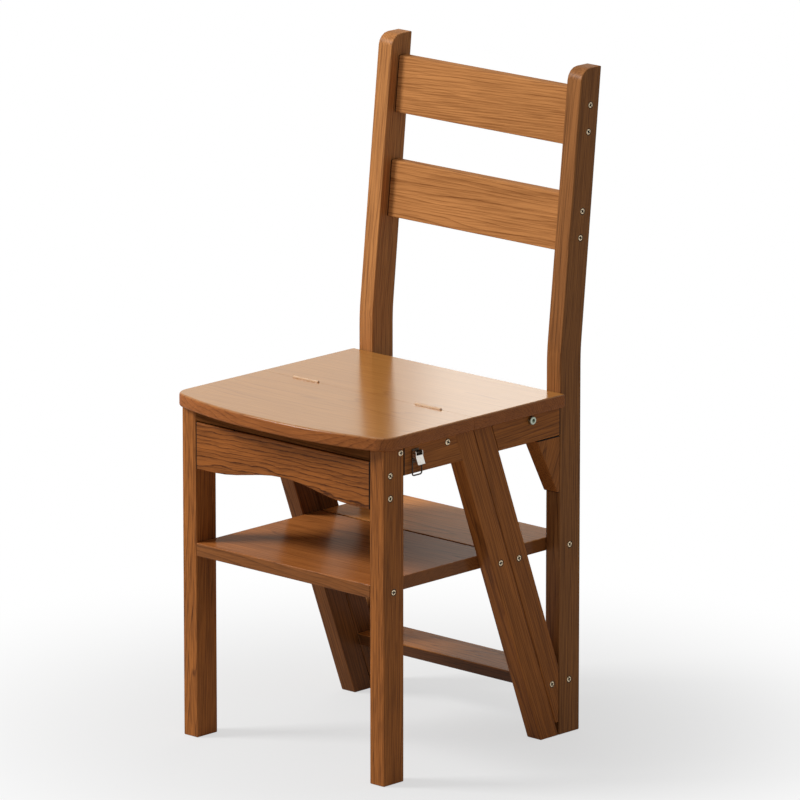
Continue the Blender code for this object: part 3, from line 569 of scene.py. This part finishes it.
# Wood screws
# Zinc-plated steel screws with a cross recess, driven flush through the timbers' outer faces.
# The two at each end of the front bearer stand a little proud of the side rail.
SCREW_HEAD_RADIUS = 0.004
SCREW_CROWN = 0.0006
SCREW_HEAD_THICKNESS = 0.0018
SCREW_SHANK_RADIUS = 0.0019
SCREW_LENGTH = 0.045
SCREW_POINT = 0.006
SCREW_SINK = 0.0002
SCREW_STEPS = 24
CROSS_REACH = 0.0027
CROSS_HALF_WIDTH = 0.0009
CROSS_DEPTH = 0.0014
CROSS_TAPER = 0.55
RIM_WIDTH = 0.0009
RIM_THICKNESS = 0.0001
DRIVEN_PER_Y = 371
DRIVEN_PER_Z = 173
QUARTER_TURN = 1.57
WEAR_DETAIL = 4
WEAR_ROUGHNESS = 0.65
WEAR_PATCHES = ((0.42, 0.0), (0.7, 1.0))
WEAR_RELIEF = 0.1
WEAR_DEPTH = 0.0001
WEAR_TINT = 0.5
WEAR_DULLING = 0.15
ZINC = stain(230, 210, 178)
ZINC_SHADOW = stain(120, 96, 70)
# Painted shade for the cross recess and the ring round each head.
RECESS_PAINTED_SHADE = stain(74, 58, 44)
RECESS_SHADOW = stain(34, 26, 20)


def metal(name, colour, shadow, roughness, marks_per_metre, bare=1.0):
    """Plated or, where it isn't bare, enamelled metal, with faint wear from handling."""
    plate = Finish(bpy.data.materials.new(name))
    rubbed = plate.node(
        "ShaderNodeTexNoise",
        sockets={
            "Vector": plate.node("ShaderNodeTexCoord", output="Object"),
            "Scale": marks_per_metre,
            "Detail": WEAR_DETAIL,
            "Roughness": WEAR_ROUGHNESS,
        },
    )
    dull = plate.levels(rubbed, WEAR_PATCHES)
    plate.surface(
        Base_Color=plate.blend(WEAR_TINT * dull, colour, shadow),
        Metallic=bare,
        Roughness=roughness + WEAR_DULLING * dull,
        Normal=plate.node(
            "ShaderNodeBump",
            sockets={"Height": rubbed, "Strength": WEAR_RELIEF, "Distance": WEAR_DEPTH},
        ),
    )
    return plate.owner


zinc = metal("zinc_plate", ZINC, ZINC_SHADOW, roughness=0.32, marks_per_metre=900)
recess_painted_shade = metal(
    "recess_painted_shade", RECESS_PAINTED_SHADE, RECESS_SHADOW, roughness=0.6, marks_per_metre=1400
)


def grown_verts(grown):
    """The vertices that an extrusion added."""
    return [part for part in grown["geom"] if isinstance(part, bmesh.types.BMVert)]


def round_edges(ring):
    """The edges of a circle that was just made, each once."""
    return list(dict.fromkeys(edge for vert in ring["verts"] for edge in vert.link_edges))


def cross_outline(shape):
    """The flat face in the head's top that will be sunk as the cross recess."""
    corners = []
    for quarter in range(4):
        turn = Matrix.Rotation(quarter * math.pi / 2, 3, "Z")
        for x, y in (
            (CROSS_REACH, -CROSS_HALF_WIDTH),
            (CROSS_REACH, CROSS_HALF_WIDTH),
            (CROSS_HALF_WIDTH, CROSS_HALF_WIDTH),
        ):
            corners.append(shape.verts.new(turn @ Vector((x, y, 0))))
    recess = shape.faces.new(corners)
    bmesh.ops.subdivide_edges(shape, edges=list(recess.edges), cuts=1)
    return recess


def turn_head_and_shank(shape, edges, radius):
    """Draws the head's rim down over its side and along the shank, and closes it in a point."""
    depth = 0
    for next_radius, next_depth in (
        (SCREW_HEAD_RADIUS, -SCREW_CROWN),
        (SCREW_HEAD_RADIUS, -SCREW_HEAD_THICKNESS),
        (SCREW_SHANK_RADIUS, -SCREW_HEAD_THICKNESS),
        (SCREW_SHANK_RADIUS, SCREW_POINT - SCREW_LENGTH),
    ):
        grown = bmesh.ops.extrude_edge_only(shape, edges=edges)
        verts = grown_verts(grown)
        edges = [part for part in grown["geom"] if isinstance(part, bmesh.types.BMEdge)]
        widen = next_radius / radius
        bmesh.ops.scale(shape, vec=(widen, widen, 1), verts=verts)
        bmesh.ops.translate(shape, vec=(0, 0, next_depth - depth), verts=verts)
        radius, depth = next_radius, next_depth
    verts = grown_verts(bmesh.ops.extrude_edge_only(shape, edges=edges))
    bmesh.ops.pointmerge(shape, verts=verts, merge_co=(0, 0, -SCREW_LENGTH))


def sink_recess(shape, recess):
    """Sinks the cross recess with tapering walls, and marks its faces for the painted shade."""
    verts = grown_verts(bmesh.ops.extrude_face_region(shape, geom=[recess]))
    bmesh.ops.delete(shape, geom=[recess], context="FACES_ONLY")
    bmesh.ops.scale(shape, vec=(CROSS_TAPER, CROSS_TAPER, 1), verts=verts)
    bmesh.ops.translate(shape, vec=(0, 0, -CROSS_DEPTH), verts=verts)
    for face in shape.faces:
        face.material_index = 0
    for face in {face for vert in verts for face in vert.link_faces}:
        face.material_index = 1


def add_shadow_rim(shape, stand):
    """Adds a thin ring of painted shadow round the head, in the wood's face."""
    face_plane = Matrix.Translation((0, 0, -stand))
    loops = []
    for radius in (SCREW_HEAD_RADIUS, SCREW_HEAD_RADIUS + RIM_WIDTH):
        ring = bmesh.ops.create_circle(
            shape, segments=SCREW_STEPS, radius=radius, matrix=face_plane
        )
        loops += round_edges(ring)
    rim_faces = bmesh.ops.bridge_loops(shape, edges=loops)["faces"]
    for face in rim_faces:
        face.material_index = 1
    bmesh.ops.solidify(shape, geom=rim_faces, thickness=RIM_THICKNESS)


def cross_screw(name, side, y, z, top, stand):
    """A screw whose crowned head stands so far out of one side's face, with its ring of painted
    shadow.
    """
    shape = bmesh.new()
    recess = cross_outline(shape)
    cross_edges = list(recess.edges)
    crown_radius = SCREW_HEAD_RADIUS - SCREW_CROWN
    crown = bmesh.ops.create_circle(shape, segments=SCREW_STEPS, radius=crown_radius)
    crown_edges = round_edges(crown)
    bmesh.ops.bridge_loops(shape, edges=cross_edges + crown_edges)
    turn_head_and_shank(shape, crown_edges, crown_radius)
    sink_recess(shape, recess)
    add_shadow_rim(shape, stand)
    driven = Matrix.Rotation((y * DRIVEN_PER_Y + z * DRIVEN_PER_Z) % QUARTER_TURN, 3, "Z")
    outward = Matrix.Rotation(side * math.pi / 2, 3, "Y")
    bmesh.ops.rotate(shape, matrix=outward @ driven, verts=shape.verts)
    bmesh.ops.translate(shape, vec=(top, y, z), verts=shape.verts)
    bmesh.ops.recalc_face_normals(shape, faces=shape.faces)
    mesh = bpy.data.meshes.new(name)
    shape.to_mesh(mesh)
    shape.free()
    mesh.materials.append(zinc)
    mesh.materials.append(recess_painted_shade)
    piece = bpy.data.objects.new(name, mesh)
    bpy.context.collection.objects.link(piece)
    return piece


for name in [node for node in frame["nodes"] if "_screw" in node]:
    low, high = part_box(name)
    side = 1 if name.endswith("right") else -1
    outer = high.x if side > 0 else low.x
    middle = (low + high) / 2
    piece = cross_screw(f"{name}_head", side, middle.y, middle.z, outer, -SCREW_SINK)
    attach(piece, frame["nodes"][name]["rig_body"])
    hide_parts(name)

BEARER_SCREW_PLACES = ((-0.1581, 0.4393), (-0.0698, 0.4379))
BEARER_SCREW_STAND = 0.0010

for side, sign in (("right", 1), ("left", -1)):
    low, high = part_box(f"front_side_rail_{side}")
    face = high.x if sign > 0 else low.x
    for number, (y, z) in enumerate(BEARER_SCREW_PLACES):
        top = face + sign * BEARER_SCREW_STAND
        piece = cross_screw(
            f"bearer_screw_{number}_{side}", sign, y, z, top, BEARER_SCREW_STAND
        )
        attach(piece, "front_frame")

# Catch bolts
# A large socket-headed bolt through each rear side rail, which the latch's wire is meant for.
# It is zinc-plated steel with a faint green cast, and holds the rear bearer's end.
BOLT_ZINC = stain(168, 176, 160)
BOLT_SHADOW = stain(92, 96, 84)
bolt_steel = metal("bolt_zinc", BOLT_ZINC, BOLT_SHADOW, roughness=0.35, marks_per_metre=700)

for side in ("right", "left"):
    dress(f"catch_bolt_{side}", bolt_steel)

# Draw latches
# A folded sheet lever on a plate with two ears, and a loop of dark wire that it draws tight.
# The lever is bright nickel-plated steel, and the plate and the wire are blackened.
NICKEL = stain(226, 222, 214)
NICKEL_SHADOW = stain(150, 144, 134)
BLACK_PLATE = stain(84, 72, 60)
BLACK_PLATE_SHADOW = stain(44, 36, 30)
BLACK_WIRE = stain(66, 56, 48)
BLACK_WIRE_SHADOW = stain(30, 27, 25)
nickel = metal("nickel_plate", NICKEL, NICKEL_SHADOW, roughness=0.24, marks_per_metre=500)
black_plate = metal(
    "black_plate", BLACK_PLATE, BLACK_PLATE_SHADOW, roughness=0.5, marks_per_metre=700
)
black_wire = metal(
    "black_wire", BLACK_WIRE, BLACK_WIRE_SHADOW, roughness=0.42, marks_per_metre=900
)

for side in ("right", "left"):
    dress(f"latch_base_{side}", black_plate)
    dress(f"latch_lever_{side}", nickel)
    dress(f"latch_bail_{side}", black_wire)

# Seat hinges
# Two slim butt hinges let into the butted edges of the seat boards.
# They are enamelled pale brown, and on the chair only their knuckles show, half above the seat.
ENAMEL = stain(218, 180, 142)
ENAMEL_SHADOW = stain(196, 156, 118)
enamel = metal(
    "brown_enamel", ENAMEL, ENAMEL_SHADOW, roughness=0.2, marks_per_metre=600, bare=0.0
)

for side in ("right", "left"):
    dress(f"seat_hinge_front_leaf_{side}", enamel)
    dress(f"seat_hinge_rear_leaf_{side}", enamel)

# Floor
# A pale matt studio floor that shows the chair's soft shadow and fades to white around it.
FLOOR_REACH = 6.0
FLOOR_PAINT = (0.6, 0.6, 0.6, 1)
FLOOR_ROUGHNESS = 0.9
FLOOR_SPECULAR = 0.1
FLOOR_FADE_START = 0.25
FLOOR_FADE_END = 0.85
FLOOR_GLOW = 0.62
WHITE = (1, 1, 1, 1)


def seen_ray(finish):
    """1 where the camera sees the place, straight, in a mirror or through glass, and else 0."""
    seen = finish.node("ShaderNodeLightPath", output="Is Camera Ray")
    mirrored = finish.node("ShaderNodeLightPath", output="Is Glossy Ray")
    through = finish.node("ShaderNodeLightPath", output="Is Transmission Ray")
    return seen + mirrored + through


floor_shape = bmesh.new()
bmesh.ops.create_grid(floor_shape, x_segments=1, y_segments=1, size=FLOOR_REACH)
floor_mesh = bpy.data.meshes.new("studio_floor")
floor_shape.to_mesh(floor_mesh)
floor_shape.free()
floor = bpy.data.objects.new("studio_floor", floor_mesh)
bpy.context.collection.objects.link(floor)

pale_floor = Finish(bpy.data.materials.new("pale_floor"))
place = pale_floor.node("ShaderNodeTexCoord", output="Object")
away = pale_floor.node(
    "ShaderNodeVectorMath", {"operation": "LENGTH"}, {0: place}, output="Value"
)
fade = pale_floor.node(
    "ShaderNodeMapRange",
    {"interpolation_type": "SMOOTHSTEP"},
    {
        "Value": away,
        "From Min": FLOOR_FADE_START,
        "From Max": FLOOR_FADE_END,
        "To Min": FLOOR_GLOW,
    },
)
pale_floor.surface(
    Base_Color=FLOOR_PAINT, Roughness=FLOOR_ROUGHNESS, Specular_IOR_Level=FLOOR_SPECULAR
)
painted = Shade(pale_floor, pale_floor.tree.nodes["Principled BSDF"].outputs[0])
glowing = pale_floor.node("ShaderNodeEmission", sockets={"Color": WHITE, "Strength": 1.0})
mixed = pale_floor.node(
    "ShaderNodeMixShader", sockets={0: fade * seen_ray(pale_floor), 1: painted, 2: glowing}
)
pale_floor.put(pale_floor.tree.nodes["Material Output"].inputs["Surface"], mixed)
floor_mesh.materials.append(pale_floor.owner)

# Studio light
# A soft key lamp high on the front left, a weak one overhead, and a pale room.
# Two dim cards behind on the left show as the pale and the warm gloss on the seat.
ROOM_LEVEL = 0.3
LAMP_AIM = Vector((0, 0, 0.5))

room = Finish(bpy.data.worlds.new("studio_room"))
bpy.context.scene.world = room.owner
background = room.tree.nodes["Background"]
room.put(background.inputs["Color"], WHITE)
room.put(background.inputs["Strength"], ROOM_LEVEL + (1 - ROOM_LEVEL) * seen_ray(room))


def hang_lamp(name, place, width, power, colour):
    """Hangs a square soft lamp that faces the chair."""
    light = bpy.data.lights.new(name, "AREA")
    light.size = width
    light.energy = power
    light.color = colour
    lamp = bpy.data.objects.new(name, light)
    lamp.location = place
    lamp.rotation_mode = "QUATERNION"
    lamp.rotation_quaternion = (LAMP_AIM - Vector(place)).to_track_quat("-Z", "Y")
    bpy.context.collection.objects.link(lamp)


hang_lamp("key_lamp", place=(-2.1, -2.1, 2.7), width=1.0, power=112, colour=(1, 1, 1))
hang_lamp("top_lamp", place=(-0.5, -0.3, 2.8), width=1.4, power=6, colour=(1, 1, 1))
hang_lamp("back_card", place=(-1.66, 2.56, 1.2), width=1.0, power=6, colour=(1, 0.99, 0.87))
hang_lamp("warm_card", place=(-2.39, 1.87, 1.2), width=1.0, power=1.2, colour=(1, 0.76, 0.3))

# Camera
# A long lens far away, as in a catalogue picture, from the front right and a little above.
CAMERA_AZIMUTH = math.radians(43.318)
CAMERA_ELEVATION = math.radians(13.733)
CAMERA_AIM = Vector((0.0352, -0.0040, 0.4573))
CAMERA_DISTANCE = 10.92
CAMERA_LENS = 376.6
CAMERA_SENSOR = 36
CAMERA_SIGHT = 100

away_from_chair = Vector(
    (
        math.sin(CAMERA_AZIMUTH) * math.cos(CAMERA_ELEVATION),
        -math.cos(CAMERA_AZIMUTH) * math.cos(CAMERA_ELEVATION),
        math.sin(CAMERA_ELEVATION),
    )
)
camera_data = bpy.data.cameras.new("catalogue_camera")
camera_data.lens = CAMERA_LENS
camera_data.sensor_width = CAMERA_SENSOR
camera_data.clip_end = CAMERA_SIGHT
camera = bpy.data.objects.new("catalogue_camera", camera_data)
camera.location = CAMERA_AIM + CAMERA_DISTANCE * away_from_chair
camera.rotation_mode = "QUATERNION"
camera.rotation_quaternion = (-away_from_chair).to_track_quat("-Z", "Y")
bpy.context.collection.objects.link(camera)
bpy.context.scene.camera = camera
bpy.context.scene.view_settings.view_transform = "Standard"
